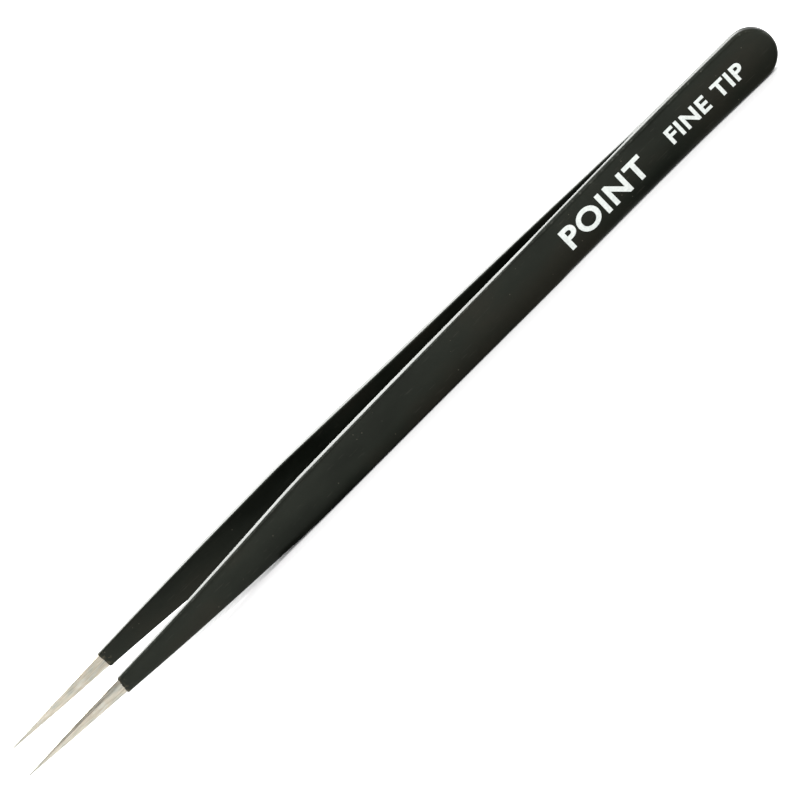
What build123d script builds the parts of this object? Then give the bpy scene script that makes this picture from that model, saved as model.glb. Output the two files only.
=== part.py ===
from build123d import *

import math
import os

# Precision tweezers lying on their lower side edge. X runs from the points (-X) to the
# heel (+X), Y is the way the blades open (front blade at -Y), Z is the blades' width.
# Distances along the blades are measured from the heel end. All sizes in millimetres.

# Overall sizes
length = 140.0  # heel end to points
heel_width = 8.0  # across the coated round heel
film = 0.18  # baked epoxy coating, on every side

# Plan outline of a blade
shoulder_from_tip = 52.5  # where the arm starts to narrow
shoulder_width = 6.7  # coated width there
shoulder_radius = 110.0
bare_tip = 17.3  # uncoated ground point
ground_under_film = 1.6  # the ground point starts this far under the coating
point_width = 2.45  # steel, where the ground point starts
belly_from_tip = 8.5
belly_width = 1.34
belly_radius = 120.0
tip_width = 0.2

# Side profile of a blade: flat heel, springy bow, straight ground point
flat_length = 12.5  # the blades lie flat on each other up to here
spring_end = 40.0  # ground thin up to here, so that the blade flexes
spring_gap = 2.14  # between the steel inner faces there
bow_from_tip = 70.0  # middle of the bow
bow_drop = 2.2  # how much nearer the middle plane it is than the tip
point_drop = 0.08  # the same where the ground point starts
tip_gap = 8.9  # between the points at rest
spring_thickness = 0.7  # steel at the heel and in the flexure
arm_thickness = 0.85  # steel at the middle of the bow
point_thickness = 0.63  # steel where the ground point starts
tip_thickness = 0.15

# Ground bevels of the point
bevel_reach = 0.65  # across the outer face, where the ground point starts
bevel_depth = 0.35
bevel_reach_at_tip = 0.055
bevel_depth_at_tip = 0.08

# Flexure: the stretch of each blade that bends when the points are squeezed
flexure_start = 24.0
flexure_end = 46.0

# Spot welds in the heel
weld_count = 3
weld_radius = 1.3
weld_half_height = 0.4
weld_clearance = 0.15  # from the last nugget to where the blades start to part

# Roundings of the coating
outer_rounding = 0.35
inner_rounding = 0.2
lip_rounding = 0.1

# Derived places
mid_height = heel_width / 2
shoulder = length - shoulder_from_tip
bow_middle = length - bow_from_tip
coat_end = length - bare_tip
point_start = coat_end - ground_under_film
belly = length - belly_from_tip
width_plane = Plane(origin=(0, 0, mid_height), x_dir=(1, 0, 0), z_dir=(0, -1, 0))
reach = tip_gap + heel_width
tip_half_gap = tip_gap / 2
point_half_gap = tip_half_gap - point_drop
bow_half_gap = tip_half_gap - bow_drop
first_weld = heel_width / 2
last_weld = flat_length - weld_clearance - weld_radius
weld_pitch = (last_weld - first_weld) / (weld_count - 1)
lens_radius = (weld_radius**2 + weld_half_height**2) / (2 * weld_half_height)
lens_half_angle = math.asin(weld_radius / lens_radius) / 2
lens_mid_x = lens_radius * math.sin(lens_half_angle)
lens_mid_y = weld_half_height - lens_radius * (1 - math.cos(lens_half_angle))


def station(distance):
    """X of a point at this distance from the heel end."""
    return length / 2 - distance


def between(start, end, distance):
    """Value at a distance on the straight line between two (distance, value) points."""
    share = (distance - start[0]) / (end[0] - start[0])
    return start[1] + (end[1] - start[1]) * share


def width_outline(grow, end):
    """Plan outline of a blade with a full round heel, grown by a film, up to a distance."""
    round_radius = heel_width / 2 - film + grow
    round_centre = heel_width / 2
    slope = math.atan((heel_width - shoulder_width) / 2 / (shoulder - round_centre))
    tangent = (round_centre + round_radius * math.sin(slope), round_radius * math.cos(slope))
    shoulder_corner = (shoulder, shoulder_width / 2 - film + grow)
    point_corner = (point_start, point_width / 2 + grow)
    if end == length:
        belly_corner = (belly, belly_width / 2 + grow)
        corners = [tangent, shoulder_corner, point_corner, belly_corner, (length, tip_width / 2 + grow)]
        radii = [shoulder_radius, belly_radius, belly_radius]
    else:
        corners = [tangent, shoulder_corner, (end, between(shoulder_corner, point_corner, end))]
        radii = [shoulder_radius]
    upper = [(station(along), half) for along, half in corners]
    lower = [(station(along), -half) for along, half in corners]
    with BuildSketch(width_plane) as outline:
        with BuildLine():
            FilletPolyline(*upper, radius=radii)
            FilletPolyline(*lower, radius=radii)
            ThreePointArc(upper[0], (station(film - grow), 0), lower[0])
            Line(upper[-1], lower[-1])
        make_face()
    return outline.sketch


def profile_line(heel, spring, bow, point, tip, end):
    """One face of the front blade in side view: flat heel, smooth bow, straight point."""
    run = (point_start - length, point - tip)
    finish_at = between((point_start, point), (length, tip), end)
    Line((station(-film), -heel), (station(flat_length), -heel))
    Spline(
        (station(flat_length), -heel),
        (station(spring_end), -spring),
        (station(bow_middle), -bow),
        (station(point_start), -point),
        tangents=((-1, 0), (run[0], run[1])),
    )
    Line((station(point_start), -point), (station(end), -finish_at))
    return (station(-film), -heel), (station(end), -finish_at)


def side_profile(grow, end):
    """Side profile of the front blade, grown by a film, up to a distance."""
    inner = [0.0, spring_gap / 2, bow_half_gap, point_half_gap, tip_half_gap]
    steel = [spring_thickness, spring_thickness, arm_thickness, point_thickness, tip_thickness]
    outer = [gap + thickness for gap, thickness in zip(inner, steel)]
    with BuildSketch(Plane.XY) as profile:
        with BuildLine():
            inner_ends = profile_line(*[out - grow for out in inner], end)
            outer_ends = profile_line(*[out + grow for out in outer], end)
            Line(inner_ends[0], outer_ends[0])
            Line(inner_ends[1], outer_ends[1])
        make_face()
    return profile.sketch


def front_blade(grow, end):
    """Add the front blade up to a distance: its plan outline cut by its side profile."""
    extrude(width_outline(grow, end), amount=reach, both=True)
    extrude(side_profile(grow, end), amount=2 * heel_width, both=True, mode=Mode.INTERSECT)


def keep_between(start, end):
    """Keep only the stretch between two distances from the heel end."""
    middle = (station(start) + station(end)) / 2
    with Locations((middle, 0, mid_height)):
        Box(end - start, 2 * reach, 2 * heel_width, mode=Mode.INTERSECT)


def bevel_section(edge, along, outer, width, across, deep):
    """Section of the metal ground off one outer corner of the point, at one distance."""
    half = width / 2
    overrun = width / across
    corners = [
        (outer + deep * overrun, half - across * (1 + overrun)),
        (outer - deep * (1 + overrun), half + across * overrun),
        (outer + width, half + across * overrun),
    ]
    section_plane = Plane(origin=(station(along), 0, mid_height), x_dir=(0, 1, 0), z_dir=(1, 0, 0))
    with BuildSketch(section_plane) as section:
        with BuildLine():
            Polyline([(-out, edge * up) for out, up in corners], close=True)
        make_face()
    return section.sketch


def grind_bevels():
    """Cut both ground bevels off the outer face, from under the film to the tip."""
    start_outer = point_half_gap + point_thickness
    tip_outer = tip_half_gap + tip_thickness
    for edge in (-1, 1):
        start = bevel_section(edge, point_start, start_outer, point_width, bevel_reach, bevel_depth)
        tip = bevel_section(edge, length, tip_outer, tip_width, bevel_reach_at_tip, bevel_depth_at_tip)
        loft([start, tip], ruled=True, mode=Mode.SUBTRACT)


def rim_edges(part, broad_side):
    """Long edges where a broad face (outer -1, inner +1) meets the narrow side faces."""
    broad = part.faces().filter_by(lambda face: broad_side * face.normal_at().Y > 0.9)
    narrow = part.faces().filter_by(lambda face: abs(face.normal_at().Y) < 0.5)
    cut_end = part.faces().sort_by(Axis.X).first
    return (broad.edges() & narrow.edges()) - cut_end.edges()


def finish(piece, name):
    """Name a finished piece and write it to its own file."""
    piece.part.label = name
    export_step(piece.part, f"parts/{name}.step")


os.makedirs("parts", exist_ok=True)

# The whole front blade in bare steel, and its mirror image
with BuildPart() as front_steel:
    front_blade(0, length)
    grind_bevels()

with BuildPart() as rear_steel:
    mirror(front_steel.part, about=Plane.XZ)

# The coated outer shape of the front blade, rounded all along, and its mirror image
with BuildPart() as front_skin:
    front_blade(film, coat_end)
    fillet(rim_edges(front_skin, -1), outer_rounding)
    fillet(rim_edges(front_skin, 1), inner_rounding)
    fillet(front_skin.faces().sort_by(Axis.X).first.edges(), lip_rounding)

with BuildPart() as rear_skin:
    mirror(front_skin.part, about=Plane.XZ)

steel = {"front": front_steel, "rear": rear_steel}
skin = {"front": front_skin, "rear": rear_skin}

# Spot weld nuggets: lens-shaped fused metal, half in each blade
with BuildPart() as spot_weld_nuggets:
    for number in range(weld_count):
        weld_x = station(first_weld + number * weld_pitch)
        with BuildSketch(Plane((weld_x, 0, mid_height))) as lens:
            with BuildLine():
                ThreePointArc((0, weld_half_height), (lens_mid_x, lens_mid_y), (weld_radius, 0))
                ThreePointArc((weld_radius, 0), (lens_mid_x, -lens_mid_y), (0, -weld_half_height))
                Line((0, -weld_half_height), (0, weld_half_height))
            make_face()
        revolve(axis=Axis((weld_x, 0, mid_height), (0, 1, 0)))
finish(spot_weld_nuggets, "spot_weld_nuggets")

# Each blade in three stretches: welded heel, flexure and arm
for side, blade in steel.items():
    with BuildPart() as blade_heel:
        add(blade.part)
        keep_between(-length, flexure_start)
        add(spot_weld_nuggets.part, mode=Mode.SUBTRACT)
    finish(blade_heel, f"{side}_blade_heel")

    with BuildPart() as blade_flexure:
        add(blade.part)
        keep_between(flexure_start, flexure_end)
    finish(blade_flexure, f"{side}_blade_flexure")

    with BuildPart() as blade_arm:
        add(blade.part)
        keep_between(flexure_end, 2 * length)
    finish(blade_arm, f"{side}_blade_arm")

# Coating of the heel: one film round both blades that also fills the root of the crotch
with BuildPart() as heel_coat:
    add(front_skin.part)
    add(rear_skin.part)
    keep_between(-length, flexure_start)
    add(front_steel.part, mode=Mode.SUBTRACT)
    add(rear_steel.part, mode=Mode.SUBTRACT)
finish(heel_coat, "heel_coat")

# Coating of each blade beyond the heel, as a sleeve open at the bare point
for side, blade in steel.items():
    with BuildPart() as coat_flexure:
        add(skin[side].part)
        keep_between(flexure_start, flexure_end)
        add(blade.part, mode=Mode.SUBTRACT)
    finish(coat_flexure, f"{side}_coat_flexure")

    with BuildPart() as coat_arm:
        add(skin[side].part)
        keep_between(flexure_end, 2 * length)
        add(blade.part, mode=Mode.SUBTRACT)
    finish(coat_arm, f"{side}_coat_arm")
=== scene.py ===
import math

import bmesh
import bpy
import numpy as np
from mathutils import Matrix, Vector


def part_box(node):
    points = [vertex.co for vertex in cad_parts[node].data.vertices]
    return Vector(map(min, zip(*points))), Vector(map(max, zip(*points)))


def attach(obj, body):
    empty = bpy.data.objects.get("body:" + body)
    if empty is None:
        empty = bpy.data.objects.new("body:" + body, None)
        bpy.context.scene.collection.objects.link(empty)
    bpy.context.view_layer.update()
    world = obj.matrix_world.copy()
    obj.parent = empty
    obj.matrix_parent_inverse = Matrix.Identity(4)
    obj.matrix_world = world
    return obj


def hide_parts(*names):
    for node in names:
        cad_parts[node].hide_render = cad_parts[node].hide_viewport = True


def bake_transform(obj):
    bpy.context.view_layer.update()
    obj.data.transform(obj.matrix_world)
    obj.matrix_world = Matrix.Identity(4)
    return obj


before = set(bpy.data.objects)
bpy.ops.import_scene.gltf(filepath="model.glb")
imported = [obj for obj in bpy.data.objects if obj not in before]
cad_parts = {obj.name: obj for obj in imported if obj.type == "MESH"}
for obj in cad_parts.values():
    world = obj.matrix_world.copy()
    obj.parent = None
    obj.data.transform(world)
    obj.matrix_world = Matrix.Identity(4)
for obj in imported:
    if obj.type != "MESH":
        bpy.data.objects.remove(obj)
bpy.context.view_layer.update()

# ---------------------------------------------------------------------------------------
# The two blades. Each is one strip of stainless spring steel, blanked to a long dagger
# outline, bowed, thinned at the root and ground by hand to a fine bevelled point. Only
# the point is left bare, and the ground metal there keeps its fine wheel lines.
# ---------------------------------------------------------------------------------------

MM = 0.001
HEEL_LOW, HEEL_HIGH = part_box("heel_coat")
HEEL_RADIUS = (HEEL_HIGH.z - HEEL_LOW.z) / 2
HEEL_CENTRE = HEEL_HIGH.x - HEEL_RADIUS
MID_HEIGHT = (HEEL_HIGH.z + HEEL_LOW.z) / 2
TIP_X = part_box("front_blade_arm")[0].x
COAT_END_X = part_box("front_coat_arm")[0].x
FILM = HEEL_HIGH.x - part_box("front_blade_heel")[1].x

FLAT_END_X = HEEL_HIGH.x - 12.5 * MM  # the blades lie flat on each other up to here
SPRING_END_X = HEEL_HIGH.x - 40 * MM  # the blade is thin up to here
BOW_MIDDLE_X = TIP_X + 70 * MM
POINT_START_X = COAT_END_X + 1.6 * MM  # the ground point starts under the coating
BEVEL_FADE_X = TIP_X + 41 * MM  # the ground facets fade out here under the coating

NEAR = 0.02 * MM  # how far from a knot or an end the CAD solids are measured
SEAM_CLEARANCE = 0.004 * MM  # from the middle plane, where the blades lie on each other
MERGE = 0.0002 * MM
FACET_SHARE = 0.54  # depth of a ground facet over the blade's thickness

OUTLINE_SAMPLES = 260
EASING = 5  # samples that a corner of the outline is eased over
UNEASED_ENDS = 1.2 * MM
HEEL_STEPS = 55
ACROSS_FACE = 16  # grid steps from the middle of a broad face to its edge
ROUND_STEPS = 6
SIDE_STEPS = 5


def solid_edges(names):
    """Both ends of every mesh edge of the named CAD solids, as one (edges, 2, 3) array."""
    ends = []
    for name in names:
        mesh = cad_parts[name].data
        points = np.empty(len(mesh.vertices) * 3)
        mesh.vertices.foreach_get("co", points)
        pairs = np.empty(len(mesh.edges) * 2, dtype=int)
        mesh.edges.foreach_get("vertices", pairs)
        ends.append(points.reshape(-1, 3)[pairs.reshape(-1, 2)])
    return np.concatenate(ends)


def section_reach(names, stations):
    """Least y, greatest y and greatest z of the CAD solids on planes across X.

    Each mesh edge that crosses a plane is cut in proportion to its ends' distances from
    the plane, and the extremes of the cut points are kept, one row for each station.
    """
    edges = solid_edges(names)
    start, end = edges[:, 0], edges[:, 1]
    rows = []
    for x in stations:
        crossing = (start[:, 0] - x) * (end[:, 0] - x) < 0
        a, b = start[crossing], end[crossing]
        cut = a + (b - a) * ((x - a[:, 0]) / (b[:, 0] - a[:, 0]))[:, None]
        rows.append([cut[:, 1].min(), cut[:, 1].max(), cut[:, 2].max()])
    return np.array(rows)


def bow(knots, values, slopes, x):
    """Height of a bowed face at x: the clamped cubic spline through the knots.

    The slopes at the knots solve the equations that make the curvature continuous, each
    span is the Hermite cubic of its ends, and past both ends the line runs on straight.
    """
    gap = np.diff(knots)
    rise = np.diff(values) / gap
    count = len(knots)
    system = np.zeros((count, count))
    right = np.zeros(count)
    system[0, 0] = system[-1, -1] = 1.0
    right[0], right[-1] = slopes
    for k in range(1, count - 1):
        system[k, k - 1 : k + 2] = 1 / gap[k - 1], 2 / gap[k - 1] + 2 / gap[k], 1 / gap[k]
        right[k] = 3 * (rise[k - 1] / gap[k - 1] + rise[k] / gap[k])
    steep = np.linalg.solve(system, right)
    k = np.clip(np.searchsorted(knots, x) - 1, 0, count - 2)
    h = gap[k]
    t = np.clip((x - knots[k]) / h, 0, 1)
    inside = (
        values[k] * (1 + 2 * t) * (1 - t) ** 2
        + values[k + 1] * t**2 * (3 - 2 * t)
        + h * steep[k] * t * (1 - t) ** 2
        - h * steep[k + 1] * t**2 * (1 - t)
    )
    below = np.minimum(x - knots[0], 0) * slopes[0]
    above = np.maximum(x - knots[-1], 0) * slopes[-1]
    return inside + below + above


STEEL_NODES = ["front_blade_heel", "front_blade_flexure", "front_blade_arm"]
FACE_KNOTS = np.array([POINT_START_X, BOW_MIDDLE_X, SPRING_END_X, FLAT_END_X])
KNOT_REACH = section_reach(STEEL_NODES, FACE_KNOTS + NEAR)
TIP_REACH = section_reach(STEEL_NODES, [TIP_X + NEAR])[0]
POINT_RUN = POINT_START_X - TIP_X
INNER_SLOPE = (TIP_REACH[1] - KNOT_REACH[0, 1]) / -POINT_RUN
OUTER_SLOPE = (TIP_REACH[0] - KNOT_REACH[0, 0]) / -POINT_RUN
WIDTH_X = np.linspace(TIP_X + NEAR, HEEL_CENTRE, OUTLINE_SAMPLES)
WIDTH_HALF = section_reach(STEEL_NODES, WIDTH_X)[:, 2] - MID_HEIGHT


def inner_gap(x):
    """Distance of the steel's inner face from the middle plane, at least a hair."""
    face = bow(FACE_KNOTS, KNOT_REACH[:, 1], (INNER_SLOPE, 0.0), x)
    return np.maximum(-face, SEAM_CLEARANCE)


def outer_gap(x):
    """Distance of the steel's outer face from the middle plane."""
    return -bow(FACE_KNOTS, KNOT_REACH[:, 0], (OUTER_SLOPE, 0.0), x)


def half_width(x):
    """Half the steel's width at x, with the corners of the sampled outline eased."""
    padded = np.pad(WIDTH_HALF, EASING // 2, mode="edge")
    eased = np.convolve(padded, np.ones(EASING) / EASING, mode="valid")
    near_ends = np.minimum(x - WIDTH_X[0], WIDTH_X[-1] - x) < UNEASED_ENDS
    return np.where(near_ends, np.interp(x, WIDTH_X, WIDTH_HALF), np.interp(x, WIDTH_X, eased))


def facet_depth(x):
    """Depth of the ground facets at the edge of the outer face.

    It grows as a smooth step from the arm to the start of the point, then shrinks with
    the point's thickness.
    """
    fade = np.clip((BEVEL_FADE_X - x) / (BEVEL_FADE_X - POINT_START_X), 0, 1)
    thickness = outer_gap(x) - inner_gap(x)
    return FACET_SHARE * thickness * fade**2 * (3 - 2 * fade)


def steel_drop(x, share, wide):
    """How far the steel's outer face falls at a share of the half width.

    It is nothing in the middle and then a facet, with a hyperbola to round the corner.
    The half width, wide, isn't used, but blade_skin gives it to either kind of drop.
    """
    start, soft = 0.45, 0.10
    past = (share - start) / (1 - start)
    rounded = (past + np.sqrt(past**2 + soft**2)) / 2
    full = (1 + math.sqrt(1 + soft**2)) / 2
    zero = (-start / (1 - start) + math.sqrt((start / (1 - start)) ** 2 + soft**2)) / 2
    return facet_depth(x) * (rounded - zero) / (full - zero)


def outline_rows(end_x, steps):
    """Rows of a blade's plan outline: x, signed half width and outward normal.

    They run from end_x along the upper edge to the heel, round its half circle and back
    along the lower edge.
    """
    side_x = end_x + (HEEL_CENTRE - end_x) * np.linspace(0, 1, steps)
    lean = np.gradient(half_width(side_x), side_x)
    long = np.sqrt(1 + lean**2)
    turn = np.linspace(math.pi / 2, -math.pi / 2, HEEL_STEPS + 1)[1:-1]
    radius = HEEL_RADIUS - FILM
    upper = np.stack([side_x, half_width(side_x), -lean / long, 1 / long], 1)
    heel = np.stack(
        [HEEL_CENTRE + radius * np.cos(turn), radius * np.sin(turn), np.cos(turn), np.sin(turn)], 1
    )
    lower = upper[::-1] * np.array([1, -1, 1, -1])
    return np.concatenate([upper, heel, lower])


def blade_skin(rows, side, grow, rounding, clearance, drop):
    """Surface of a blade, or of the film on it, as a (rows, around, 3) grid.

    Each row goes from the middle line of the outer face out to the rim, round a quarter
    circle, along the narrow side, round the inner quarter circle and back to the middle
    line of the inner face. The rim is the plan outline moved out by grow, and the faces
    are the bowed faces moved out by grow. The outer face falls towards its edges by drop.
    """
    px, pz, nx, nz = (rows[:, k, None] for k in range(4))
    grow = np.broadcast_to(np.asarray(grow, float).reshape(-1, 1), px.shape)
    out_round, in_round = (np.reshape(radius, (-1, 1)) for radius in rounding)
    rim_x, rim_z = px + nx * grow, pz + nz * grow
    out_round = np.minimum(out_round, np.abs(rim_z) * 0.5 + (px > HEEL_CENTRE) * HEEL_RADIUS)
    in_round = np.minimum(in_round, np.abs(rim_z) * 0.5 + (px > HEEL_CENTRE) * HEEL_RADIUS)
    spine_x = np.minimum(px, HEEL_CENTRE)
    face = np.linspace(0, 1, ACROSS_FACE + 1)[None, :]
    bend = np.linspace(0, math.pi / 2, ROUND_STEPS + 1)[None, 1:]

    def plan(inset, share):
        """Plan place at a share of the way from the spine to the rim less its inset."""
        edge_x, edge_z = rim_x - nx * inset, rim_z - nz * inset
        return spine_x + (edge_x - spine_x) * share, edge_z * share

    wide = np.abs(rim_z) + 1e-9
    out_face_x, out_face_z = plan(out_round, face)
    out_bend_x = rim_x - nx * out_round * (1 - np.sin(bend))
    out_bend_z = rim_z - nz * out_round * (1 - np.sin(bend))
    in_bend_x = rim_x - nx * in_round * (1 - np.cos(bend))
    in_bend_z = rim_z - nz * in_round * (1 - np.cos(bend))
    in_face_x, in_face_z = plan(in_round, face[:, ::-1])

    def outer_y(x, share, sink):
        """Distance of the outer face, with its facets, from the middle plane."""
        return outer_gap(x) + grow - drop(x, share, wide) - sink

    def inner_y(x, sink):
        """Distance of the inner face from the middle plane, never across it."""
        return np.maximum(inner_gap(x) - grow, clearance) + sink

    out_face_y = outer_y(out_face_x, np.abs(out_face_z) / wide, 0)
    out_bend_y = outer_y(out_bend_x, np.abs(out_bend_z) / wide, out_round * (1 - np.cos(bend)))
    in_bend_y = inner_y(in_bend_x, in_round * (1 - np.sin(bend)))
    in_face_y = inner_y(in_face_x, 0)
    down = np.linspace(0, 1, SIDE_STEPS + 1)[None, 1:-1]
    start_y = inner_y(rim_x, in_round)
    side_y = out_bend_y[:, -1:] + (start_y - out_bend_y[:, -1:]) * down
    x = np.concatenate(
        [out_face_x, out_bend_x, rim_x + 0 * side_y, rim_x, in_bend_x, in_face_x[:, 1:]], 1
    )
    z = np.concatenate(
        [out_face_z, out_bend_z, rim_z + 0 * side_y, rim_z, in_bend_z, in_face_z[:, 1:]], 1
    )
    y = np.concatenate([out_face_y, out_bend_y, side_y, start_y, in_bend_y, in_face_y[:, 1:]], 1)
    return np.stack([x, side * y, z + MID_HEIGHT], 2)


def grid_piece(name, grid, wrap, masks):
    """Mesh of a grid of points: quads between neighbours, the last row joined on if wrap is true.

    Points that meet along the middle lines and at the poles are merged. Each mask is a
    grid of values that the materials read as an attribute.
    """
    rows, around = grid.shape[:2]
    count = rows if wrap else rows - 1
    i = np.arange(count)[:, None]
    j = np.arange(around - 1)[None, :]
    corner = i * around + j
    after = ((i + 1) % rows) * around + j
    quads = np.stack([corner, corner + 1, after + 1, after], 2).reshape(-1, 4)
    mesh = bpy.data.meshes.new(name)
    mesh.from_pydata(grid.reshape(-1, 3), [], quads)
    for title, values in masks.items():
        layer = mesh.attributes.new(title, "FLOAT", "POINT")
        layer.data.foreach_set("value", np.broadcast_to(values, grid.shape[:2]).ravel())
    work = bmesh.new()
    work.from_mesh(mesh)
    bmesh.ops.remove_doubles(work, verts=work.verts, dist=MERGE)
    bmesh.ops.recalc_face_normals(work, faces=work.faces)
    work.to_mesh(mesh)
    work.free()
    mesh.shade_smooth()
    piece = bpy.data.objects.new(name, mesh)
    bpy.context.collection.objects.link(piece)
    return piece


def new_material(name):
    """A material with its node tree, its Principled shader and its texture coordinates."""
    material = bpy.data.materials.new(name)
    material.use_nodes = True
    tree = material.node_tree
    shader = tree.nodes["Principled BSDF"]
    place = tree.nodes.new("ShaderNodeTexCoord")
    return material, tree, shader, place


def connect(tree, source, target):
    """Link one socket to another."""
    tree.links.new(source, target)


def streaks(tree, place, stretch, scale, detail):
    """Noise drawn out along one direction: object coordinates scaled unevenly."""
    mapping = tree.nodes.new("ShaderNodeMapping")
    mapping.inputs["Scale"].default_value = stretch
    noise = tree.nodes.new("ShaderNodeTexNoise")
    noise.inputs["Scale"].default_value = scale
    noise.inputs["Detail"].default_value = detail
    connect(tree, place.outputs["Object"], mapping.inputs["Vector"])
    connect(tree, mapping.outputs["Vector"], noise.inputs["Vector"])
    return noise.outputs["Fac"]


def ramp(tree, source, low, high, *stops):
    """Colour ramp through the listed stops, on a value remapped from low..high to 0..1."""
    spread = tree.nodes.new("ShaderNodeMapRange")
    spread.inputs["From Min"].default_value = low
    spread.inputs["From Max"].default_value = high
    node = tree.nodes.new("ShaderNodeValToRGB")
    elements = node.color_ramp.elements
    for at, _ in stops[1:-1]:
        elements.new(at)
    for element, (at, colour) in zip(sorted(elements, key=lambda e: e.position), stops):
        element.position = at
        element.color = (*colour, 1.0)
    connect(tree, source, spread.inputs["Value"])
    connect(tree, spread.outputs["Result"], node.inputs["Fac"])
    return node.outputs["Color"]


def bump(tree, height, strength, distance, under=None):
    """Bump from a height, over another normal if one is given."""
    node = tree.nodes.new("ShaderNodeBump")
    node.inputs["Strength"].default_value = strength
    node.inputs["Distance"].default_value = distance
    connect(tree, height, node.inputs["Height"])
    if under is not None:
        connect(tree, under, node.inputs["Normal"])
    return node.outputs["Normal"]


def blend_colours(tree, share, below, above):
    """Colour that goes from one to the other by a share or a mask."""
    mix = tree.nodes.new("ShaderNodeMix")
    mix.data_type = "RGBA"
    for value, socket in zip((share, below, above), (mix.inputs[0], mix.inputs[6], mix.inputs[7])):
        if isinstance(value, float):
            socket.default_value = value
        elif isinstance(value, tuple):
            socket.default_value = (*value, 1.0)
        else:
            connect(tree, value, socket)
    return mix.outputs[2]


def attribute_mask(tree, title, noise, centre, width):
    """Mask that steps up smoothly where half an attribute plus a noise passes centre + 0.5."""
    reader = tree.nodes.new("ShaderNodeAttribute")
    reader.attribute_name = title
    lift = tree.nodes.new("ShaderNodeMath")
    lift.operation = "MULTIPLY_ADD"
    lift.inputs[1].default_value = 0.5
    connect(tree, reader.outputs["Fac"], lift.inputs[0])
    connect(tree, noise, lift.inputs[2])
    step = tree.nodes.new("ShaderNodeMapRange")
    step.interpolation_type = "SMOOTHSTEP"
    step.inputs["From Min"].default_value = centre + 0.5 - width / 2
    step.inputs["From Max"].default_value = centre + 0.5 + width / 2
    connect(tree, lift.outputs["Value"], step.inputs["Value"])
    return step.outputs["Result"]


def ground_steel():
    """Satin stainless steel: fine wheel lines along the blade, warm and cool stains.

    The needle, which is ground finest, is darker and more neutral.
    """
    material, tree, shader, place = new_material("ground_steel")
    stain = streaks(tree, place, stretch=(0.30, 1.0, 1.0), scale=1500, detail=4)
    lines = streaks(tree, place, stretch=(0.05, 1.0, 1.0), scale=9000, detail=3)
    chatter = streaks(tree, place, stretch=(1.0, 0.25, 0.25), scale=5200, detail=3)
    stained = ramp(
        tree,
        stain,
        0.34,
        0.66,
        (0.0, (0.27, 0.28, 0.25)),
        (0.4, (0.37, 0.34, 0.27)),
        (0.7, (0.42, 0.35, 0.265)),
        (1.0, (0.47, 0.46, 0.41)),
    )
    ground = ramp(tree, lines, 0.36, 0.62, (0.0, (0.21, 0.21, 0.185)), (1.0, (0.46, 0.445, 0.39)))
    colour = blend_colours(tree, 0.5, stained, ground)
    needle = attribute_mask(tree, "needle", stain, centre=0.45, width=0.5)
    colour = blend_colours(tree, needle, colour, (0.215, 0.22, 0.205))
    rough = ramp(tree, lines, 0.3, 0.7, (0.0, (0.32,) * 3), (1.0, (0.44,) * 3))
    normal = bump(tree, lines, strength=0.5, distance=0.008 * MM)
    normal = bump(tree, chatter, strength=0.25, distance=0.006 * MM, under=normal)
    connect(tree, colour, shader.inputs["Base Color"])
    connect(tree, rough, shader.inputs["Roughness"])
    connect(tree, normal, shader.inputs["Normal"])
    shader.inputs["Metallic"].default_value = 1.0
    return material


GROUND_STEEL = ground_steel()
STEEL_EDGE_ROUND = (0.02 * MM, 0.015 * MM)  # outer and inner edges
NEEDLE = 8 * MM
POLE_INSET = 0.001 * MM
BLADE_STEPS = 420


def make_blade(name, side):
    """One bare blade: its skin from the point round the heel and back, closed by one pole."""
    rows = outline_rows(TIP_X + NEAR, BLADE_STEPS)
    grid = blade_skin(rows, side, 0.0, STEEL_EDGE_ROUND, SEAM_CLEARANCE, steel_drop)
    middle = (grid[0].mean(0) + grid[-1].mean(0)) / 2
    middle[0] = TIP_X + POLE_INSET
    pole = np.broadcast_to(middle, (1, grid.shape[1], 3))
    grid = np.concatenate([pole, grid, pole])
    fine = np.clip(1 - (grid[:, :, 0] - TIP_X) / NEEDLE, 0, 1)
    piece = grid_piece(name, grid, wrap=False, masks={"needle": fine})
    piece.data.materials.append(GROUND_STEEL)
    return piece


SIDES = {"front": -1, "rear": 1}
for which, side in SIDES.items():
    blade = make_blade(f"{which}_blade", side)
    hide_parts(f"{which}_blade_heel", f"{which}_blade_flexure", f"{which}_blade_arm")
    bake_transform(blade)

# ---------------------------------------------------------------------------------------
# The spot welds. Three lenses of fused steel in a row inside the heel hold the blades
# together; the coating hides them. They keep the CAD solids' shape.
# ---------------------------------------------------------------------------------------


def fused_steel():
    """Weld metal: duller than the blades, with blotches of heat tint and a fine cast grain."""
    material, tree, shader, place = new_material("fused_steel")
    blotch = streaks(tree, place, stretch=(1.0, 1.0, 1.0), scale=1200, detail=4)
    grain = streaks(tree, place, stretch=(1.0, 1.0, 1.0), scale=16000, detail=2)
    colour = ramp(
        tree,
        blotch,
        0.3,
        0.7,
        (0.0, (0.30, 0.28, 0.30)),
        (0.5, (0.46, 0.43, 0.40)),
        (1.0, (0.56, 0.50, 0.42)),
    )
    rough = ramp(tree, blotch, 0.3, 0.7, (0.0, (0.38,) * 3), (1.0, (0.55,) * 3))
    connect(tree, colour, shader.inputs["Base Color"])
    connect(tree, rough, shader.inputs["Roughness"])
    connect(tree, bump(tree, grain, strength=0.3, distance=0.01 * MM), shader.inputs["Normal"])
    shader.inputs["Metallic"].default_value = 1.0
    return material


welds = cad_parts["spot_weld_nuggets"]
welds.data.materials.clear()
welds.data.materials.append(fused_steel())

# ---------------------------------------------------------------------------------------
# The coating. One baked film of black conductive epoxy covers everything but the points.
# It is satin, rounds every edge, bridges the seam between the blades at the heel, fills
# the root of the crotch and ends in a slightly wavy rolled lip round each point.
# ---------------------------------------------------------------------------------------

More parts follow.
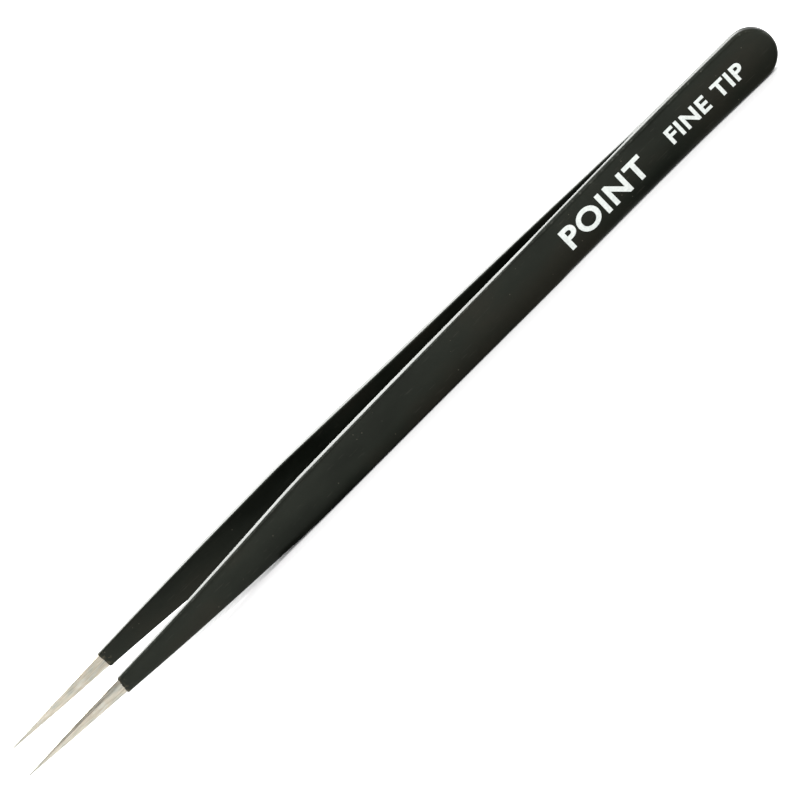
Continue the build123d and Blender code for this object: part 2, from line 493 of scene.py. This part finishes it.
COAT_OUT_ROUND = 0.33 * MM
SPRING_OUT_ROUND = 0.56 * MM  # on the heel and the thin spring
THIN_END_X = HEEL_HIGH.x - 43.5 * MM
THINNING = 3.5 * MM  # the outer rounding changes over this length
COAT_IN_ROUND = 0.20 * MM
BRIDGED_ROUND = 0.03 * MM  # where the film bridges the seam between the blades
CROTCH_X = HEEL_HIGH.x - 21.5 * MM  # the film parts into two sleeves here
PARTING = 6 * MM  # the inner rounding grows over this length

FILM_FACET_X = TIP_X + 74 * MM  # the ground facets show through the film from here on
FILM_FACET_GROWTH = 26 * MM
FILM_FACET_REACH = 0.80 * MM
FILM_FACET_SLOPE = 0.21
FILM_FACET_SOFT = 0.12 * MM

SHRINKAGE = 0.005 * MM  # keeps the skin inside the CAD solids
STEEL_BITE = 0.006 * MM  # how far the film's inner skin sinks into the steel
INNER_SKIN_CLEARANCE = SEAM_CLEARANCE + 0.01 * MM
COAT_STEPS = 440

LIP_LENGTH = 0.36 * MM
LIP_STEPS = 8
LIP_BEAD = 0.025 * MM
BEAD_LENGTH = 0.7 * MM
MOTTLED_LENGTH = 2.2 * MM
WAVY_LENGTH = 2 * MM
WAVES = ((1, 1, 0.030 * MM), (3, 2, 0.030 * MM), (7, -1, 0.020 * MM), (13, 1, 0.014 * MM))
NICK_DEPTH = 0.12 * MM
NICK_WIDTH = 0.12  # radians round the section
NICK_TURN = 2.6  # times the phase


def bead(x):
    """Extra film towards the lip, where the wet epoxy drew back from the bare point."""
    near = np.clip(1 - (x - COAT_END_X) / BEAD_LENGTH, 0, 1)
    return LIP_BEAD * near**2 * (3 - 2 * near)


def film_drop(x, share, wide):
    """How far the film's outer face falls towards its edges, over the steel's facets.

    A band along the edge slopes down; it widens as a smooth step towards the point, and a
    hyperbola rounds the corner where it starts.
    """
    fade = np.clip((FILM_FACET_X - x) / FILM_FACET_GROWTH, 0, 1)
    past = FILM_FACET_REACH * fade**2 * (3 - 2 * fade) - wide * (1 - share)
    return FILM_FACET_SLOPE * (past + np.sqrt(past**2 + FILM_FACET_SOFT**2)) / 2


def outer_rounding(x):
    """Radius of the film's outer edges: a smooth step down from the spring to the arm."""
    thin = np.clip((x - THIN_END_X) / THINNING, 0, 1)
    return COAT_OUT_ROUND + (SPRING_OUT_ROUND - COAT_OUT_ROUND) * thin**2 * (3 - 2 * thin)


def inner_rounding(x):
    """Radius of the film's inner edges: a hair at the bridged seam, then growing smoothly."""
    parted = np.clip((CROTCH_X - x) / PARTING, 0, 1)
    return BRIDGED_ROUND + (COAT_IN_ROUND - BRIDGED_ROUND) * parted**2 * (3 - 2 * parted)


def wavy_lip(grid, phase, shift, slant):
    """Grid with its lip pushed along the blade by a shift, a slant, slow waves and one nick.

    The slant is a share of the height over the middle. The waves are cosines of whole
    multiples of the angle round the section, each turned by its share of the phase. The
    nick is a narrow bell. The push fades out from the lip as a smooth step.
    """
    x = grid[:, :, 0]
    centre_y = grid[:, :, 1].mean(1, keepdims=True)
    angle = np.arctan2(grid[:, :, 2] - MID_HEIGHT, grid[:, :, 1] - centre_y)
    push = shift + slant * (grid[:, :, 2] - MID_HEIGHT)
    for count, turn, size in WAVES:
        push = push + size * np.cos(count * angle + turn * phase)
    away = np.angle(np.exp(1j * (angle - NICK_TURN * phase)))
    push = push + NICK_DEPTH * np.exp(-((away / NICK_WIDTH) ** 2))
    near = np.clip(1 - (x - COAT_END_X) / WAVY_LENGTH, 0, 1)
    moved = grid.copy()
    moved[:, :, 0] = x + push * near**2 * (3 - 2 * near)
    return moved


def rim_mask():
    """Half a sine over the rounded edges of a skin's section, and zero on its faces."""
    bend = np.sin(np.linspace(0, math.pi, ROUND_STEPS + 1))[1:]
    face = np.zeros(ACROSS_FACE)
    flat = np.zeros(SIDE_STEPS)
    return np.concatenate([[0], face, bend, flat, bend, face])[None, :]


def make_coating(name, side, phase, shift, slant):
    """The film on one blade as a closed sleeve: outer skin, rolled lip and inner skin.

    The lip is a quarter ellipse in side view: its height over the steel is a cosine and
    its reach towards the point is a sine of the same angle.
    """
    rows = outline_rows(COAT_END_X + LIP_LENGTH, COAT_STEPS)
    rounding = (outer_rounding(rows[:, 0]), inner_rounding(rows[:, 0]))
    film = FILM - SHRINKAGE + bead(rows[:, 0])
    outer = blade_skin(rows, side, film, rounding, SEAM_CLEARANCE, film_drop)
    roll = np.linspace(0, math.pi / 2, LIP_STEPS + 1)[1:]
    inner = blade_skin(
        rows, side, -STEEL_BITE, STEEL_EDGE_ROUND, INNER_SKIN_CLEARANCE, steel_drop
    )
    share = np.cos(roll)[:, None, None]
    reach_on = np.zeros((len(roll), 1, 3))
    reach_on[:, 0, 0] = -LIP_LENGTH * np.sin(roll)
    first_lip = inner[0] + (outer[0] - inner[0]) * share + reach_on
    last_lip = inner[-1] + (outer[-1] - inner[-1]) * share + reach_on
    grid = np.concatenate([outer, last_lip, inner[::-1], first_lip[::-1]])
    near_lip = np.clip(1 - (grid[:, :, 0] - COAT_END_X) / MOTTLED_LENGTH, 0, 1)
    masks = {"rim": rim_mask(), "lip": near_lip}
    piece = grid_piece(name, wavy_lip(grid, phase, shift, slant), wrap=True, masks=masks)
    piece.data.materials.append(BLACK_EPOXY)
    return piece


SPECKLESS_SHARE = 0.80  # of the cells


def specks_group():
    """Node group: mask of sparse small specks round the points of a few Voronoi cells."""
    group = bpy.data.node_groups.new("dust_specks", "ShaderNodeTree")
    group.interface.new_socket("Vector", in_out="INPUT", socket_type="NodeSocketVector")
    group.interface.new_socket("Scale", in_out="INPUT", socket_type="NodeSocketFloat")
    group.interface.new_socket("Size", in_out="INPUT", socket_type="NodeSocketFloat")
    group.interface.new_socket("Mask", in_out="OUTPUT", socket_type="NodeSocketFloat")
    entry = group.nodes.new("NodeGroupInput")
    leave = group.nodes.new("NodeGroupOutput")
    cells = group.nodes.new("ShaderNodeTexVoronoi")
    keep = group.nodes.new("ShaderNodeMath")
    keep.operation = "GREATER_THAN"
    keep.inputs[1].default_value = SPECKLESS_SHARE
    small = group.nodes.new("ShaderNodeMath")
    small.operation = "LESS_THAN"
    both = group.nodes.new("ShaderNodeMath")
    both.operation = "MULTIPLY"
    pick = group.nodes.new("ShaderNodeSeparateColor")
    connect(group, entry.outputs["Vector"], cells.inputs["Vector"])
    connect(group, entry.outputs["Scale"], cells.inputs["Scale"])
    connect(group, cells.outputs["Color"], pick.inputs["Color"])
    connect(group, pick.outputs["Red"], keep.inputs[0])
    connect(group, cells.outputs["Distance"], small.inputs[0])
    connect(group, entry.outputs["Size"], small.inputs[1])
    connect(group, keep.outputs["Value"], both.inputs[0])
    connect(group, small.outputs["Value"], both.inputs[1])
    connect(group, both.outputs["Value"], leave.inputs["Mask"])
    return group


SPECKS = specks_group()


def specks(tree, place, scale, size):
    """Dust specks in a material, from the shared group."""
    node = tree.nodes.new("ShaderNodeGroup")
    node.node_tree = SPECKS
    node.inputs["Scale"].default_value = scale
    node.inputs["Size"].default_value = size
    connect(tree, place.outputs["Object"], node.inputs["Vector"])
    return node.outputs["Mask"]


def black_epoxy():
    """Black satin epoxy: slow brown to green drift, orange peel, dust nibs, hair scratches.

    The rounded edges are rubbed a little lighter, and the lip is thin and mottled.
    """
    material, tree, shader, place = new_material("black_epoxy")
    drift = streaks(tree, place, stretch=(0.4, 1.0, 1.0), scale=130, detail=3)
    peel = streaks(tree, place, stretch=(1.0, 1.0, 1.0), scale=2400, detail=2)
    fine = streaks(tree, place, stretch=(1.0, 1.0, 1.0), scale=11000, detail=2)
    scratch = streaks(tree, place, stretch=(0.06, 1.0, 1.0), scale=5200, detail=1)
    rub = streaks(tree, place, stretch=(1.0, 1.0, 1.0), scale=1900, detail=4)
    colour = ramp(
        tree,
        drift,
        0.36,
        0.64,
        (0.0, (0.0026, 0.0032, 0.0021)),
        (0.5, (0.0060, 0.0070, 0.0050)),
        (1.0, (0.0092, 0.0084, 0.0058)),
    )
    marks = ramp(tree, scratch, 0.70, 0.74, (0.0, (0.0,) * 3), (1.0, (0.5,) * 3))
    colour = blend_colours(tree, marks, colour, (0.022, 0.021, 0.017))
    worn = attribute_mask(tree, "rim", rub, centre=0.60, width=0.30)
    colour = blend_colours(tree, worn, colour, (0.034, 0.036, 0.030))
    mottled = attribute_mask(tree, "lip", rub, centre=0.46, width=0.16)
    colour = blend_colours(tree, mottled, colour, (0.036, 0.032, 0.020))
    dusty = specks(tree, place, scale=1000, size=0.085)
    colour = blend_colours(tree, dusty, colour, (0.050, 0.048, 0.036))
    rough = ramp(tree, drift, 0.3, 0.7, (0.0, (0.34,) * 3), (1.0, (0.44,) * 3))
    normal = bump(tree, peel, strength=0.30, distance=0.02 * MM)
    normal = bump(tree, fine, strength=0.14, distance=0.006 * MM, under=normal)
    normal = bump(tree, dusty, strength=0.40, distance=0.02 * MM, under=normal)
    connect(tree, colour, shader.inputs["Base Color"])
    connect(tree, rough, shader.inputs["Roughness"])
    connect(tree, normal, shader.inputs["Normal"])
    shader.inputs["IOR"].default_value = 1.26
    shader.inputs["Specular Tint"].default_value = (0.92, 1.0, 0.86, 1.0)
    return material


BLACK_EPOXY = black_epoxy()
LIP_FORM = {
    "front": {"phase": 0.9, "shift": 0.05 * MM, "slant": 0.15},
    "rear": {"phase": 2.1, "shift": -0.22 * MM, "slant": 0.0},
}

for which, side in SIDES.items():
    coating = make_coating(f"{which}_coating", side, **LIP_FORM[which])
    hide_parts("heel_coat", f"{which}_coat_flexure", f"{which}_coat_arm")
    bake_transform(coating)

# ---------------------------------------------------------------------------------------
# The printed marks. White ink, pad printed on the front blade's outer face: a plain word
# near the crotch and a smaller line on the heel, both read towards the heel.
# ---------------------------------------------------------------------------------------

INK = 0.02 * MM
INK_SUNK = 0.15  # share of the ink's thickness that is sunk in the film
INK_MERGE = 0.0005 * MM
BOLDER = 0.03
LETTER_SPACING = 1.12


def white_ink():
    """White printing ink: slightly mottled, matt, with a fine tooth."""
    material, tree, shader, place = new_material("white_ink")
    mottle = streaks(tree, place, stretch=(1.0, 1.0, 1.0), scale=3000, detail=3)
    colour = ramp(tree, mottle, 0.3, 0.7, (0.0, (0.50, 0.53, 0.51)), (1.0, (0.63, 0.66, 0.63)))
    rough = ramp(tree, mottle, 0.3, 0.7, (0.0, (0.42,) * 3), (1.0, (0.56,) * 3))
    connect(tree, colour, shader.inputs["Base Color"])
    connect(tree, rough, shader.inputs["Roughness"])
    connect(tree, bump(tree, mottle, strength=0.3, distance=0.004 * MM), shader.inputs["Normal"])
    return material


WHITE_INK = white_ink()


def lay_ink(name, words, start, end, height, rise):
    """Solid ink letters that fill the stretch between two distances from the heel end.

    The flat letters are stretched to the given length and height, and each point is laid
    on the film: its y is the outer face's at its x, raised by its place in the ink.
    """
    curve = bpy.data.curves.new(name, "FONT")
    curve.body = words
    curve.offset = BOLDER
    curve.space_character = LETTER_SPACING
    curve.extrude = 0.5
    curve.resolution_u = 6
    letters = bpy.data.objects.new(name + "_flat", curve)
    bpy.context.collection.objects.link(letters)
    bpy.context.view_layer.update()
    mesh = bpy.data.meshes.new_from_object(letters)
    bpy.data.objects.remove(letters)
    mesh.name = name
    points = np.empty(len(mesh.vertices) * 3)
    mesh.vertices.foreach_get("co", points)
    points = points.reshape(-1, 3)
    low, high = points.min(0), points.max(0)
    share = (points - low) / (high - low)
    x = HEEL_HIGH.x - start + (start - end) * share[:, 0]
    z = MID_HEIGHT + rise + height * (share[:, 1] - 0.5)
    y = outer_gap(x) + FILM + INK * (share[:, 2] - INK_SUNK)
    mesh.vertices.foreach_set("co", np.stack([x, -y, z], 1).ravel())
    work = bmesh.new()
    work.from_mesh(mesh)
    bmesh.ops.remove_doubles(work, verts=work.verts, dist=INK_MERGE)
    bmesh.ops.recalc_face_normals(work, faces=work.faces)
    work.to_mesh(mesh)
    work.free()
    mesh.materials.clear()
    mesh.materials.append(WHITE_INK)
    piece = bpy.data.objects.new(name, mesh)
    bpy.context.collection.objects.link(piece)
    return piece


word = lay_ink(
    "printed_word", "POINT", start=38.9 * MM, end=23.9 * MM, height=3.5 * MM, rise=0.1 * MM
)
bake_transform(word)
line = lay_ink(
    "printed_line", "FINE TIP", start=19.4 * MM, end=5.7 * MM, height=2.5 * MM, rise=0.0
)
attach(line, "heel")

# ---------------------------------------------------------------------------------------
# The bench and the light: a pale floor, a wide soft light behind and above the tweezers,
# whose glow the upper edges catch, a soft fill in front, the camera, and two grey cards
# that only reflections show. The dark one on the floor is painted shade: it stands in for
# the tweezers' own shadow in front of the front blade, which the front face reflects.
# ---------------------------------------------------------------------------------------

FLOOR_REACH = 1.6
FLOOR_DROP = 0.01 * MM
rest_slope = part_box("front_coat_arm")[0].z / (HEEL_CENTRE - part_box("front_coat_arm")[1].x)


def make_floor():
    """A flat pale sheet on the plane that the lower edges of the blades lie in."""
    x = np.array([-FLOOR_REACH, FLOOR_REACH, FLOOR_REACH, -FLOOR_REACH])
    y = np.array([-FLOOR_REACH, -FLOOR_REACH, FLOOR_REACH, FLOOR_REACH])
    z = (HEEL_CENTRE - x) * rest_slope - FLOOR_DROP
    mesh = bpy.data.meshes.new("floor")
    mesh.from_pydata(np.stack([x, y, z], 1), [], [(0, 1, 2, 3)])
    floor = bpy.data.objects.new("floor", mesh)
    bpy.context.collection.objects.link(floor)
    material, tree, shader, place = new_material("pale_floor")
    shade = streaks(tree, place, stretch=(1.0, 1.0, 1.0), scale=3.0, detail=2)
    colour = ramp(tree, shade, 0.3, 0.7, (0.0, (0.81, 0.81, 0.81)), (1.0, (0.83, 0.83, 0.83)))
    connect(tree, colour, shader.inputs["Base Color"])
    shader.inputs["Roughness"].default_value = 0.85
    mesh.materials.append(material)


def soft_light(name, toward, distance, size, power):
    """A soft box at a distance in a direction, aimed at the middle of the tweezers."""
    light = bpy.data.lights.new(name, "AREA")
    light.shape = "RECTANGLE"
    light.size, light.size_y = size
    light.energy = power
    lamp = bpy.data.objects.new(name, light)
    bpy.context.collection.objects.link(lamp)
    aim = Vector(toward).normalized()
    lamp.location = aim * distance
    lamp.rotation_euler = aim.to_track_quat("Z", "Y").to_euler()
    lamp.visible_camera = False


make_floor()
soft_light("back_box", toward=(-0.05, 0.93, 0.38), distance=0.60, size=(0.56, 0.42), power=12.0)
soft_light("front_box", toward=(0.0, -0.45, 0.90), distance=0.70, size=(0.7, 0.5), power=2.5)

world = bpy.data.worlds.new("studio")
bpy.context.scene.world = world
world.use_nodes = True
sky = world.node_tree.nodes["Background"]
sky.inputs["Color"].default_value = (1.0, 1.0, 1.0, 1.0)
sky.inputs["Strength"].default_value = 1.35

CAMERA_BACK = Vector((0.04385, -0.88685, 0.45996))
CAMERA_RIGHT = Vector((0.717172, -0.292584, -0.632502))
CAMERA_UP = CAMERA_BACK.cross(CAMERA_RIGHT)
CAMERA_PLACE = Vector((38.208, -763.610, 399.429)) * MM
LENS = 288.9  # millimetres, as Blender counts it
SENSOR = 36.0
lens = bpy.data.cameras.new("camera")
lens.lens = LENS
lens.sensor_width = SENSOR
lens.clip_start = 0.01
camera = bpy.data.objects.new("camera", lens)
bpy.context.collection.objects.link(camera)
turn = Matrix((CAMERA_RIGHT, CAMERA_UP, CAMERA_BACK)).transposed()
camera.matrix_world = Matrix.Translation(CAMERA_PLACE) @ turn.to_4x4()
bpy.context.scene.camera = camera


def flag(name, corners, shade):
    """A grey four-cornered card of the stage that only reflections show."""
    mesh = bpy.data.meshes.new(name)
    mesh.from_pydata(corners, [], [(0, 1, 2, 3)])
    card = bpy.data.objects.new(name, mesh)
    bpy.context.collection.objects.link(card)
    material, _, shader, _ = new_material(name)
    shader.inputs["Base Color"].default_value = (shade, shade, shade, 1.0)
    mesh.materials.append(material)
    card.visible_camera = False
    card.visible_diffuse = False
    card.visible_shadow = False


CARD_DISTANCE = 0.55
CARD_REACH = 0.26
card_middle = CAMERA_BACK * CARD_DISTANCE
card_across = CAMERA_RIGHT * CARD_REACH
card_along = CAMERA_UP * CARD_REACH
lens_card = [
    card_middle - card_across - card_along,
    card_middle + card_across - card_along,
    card_middle + card_across + card_along,
    card_middle - card_across + card_along,
]
# Painted shade: a dark card on the floor along the front blade. It stands in for the tweezers' own
# shadow there, so the lower part of the front face reflects darker.
reflected_shadow_card = [
    (-0.045, -0.0045, 0.0008),
    (-0.045, -0.0062, 0.0008),
    (0.075, -0.0075, 0.0002),
    (0.075, -0.0008, 0.0002),
]
flag("lens_card", lens_card, 0.12)
flag("reflected_shadow_card", reflected_shadow_card, 0.02)
bpy.context.scene.view_settings.view_transform = "Standard"
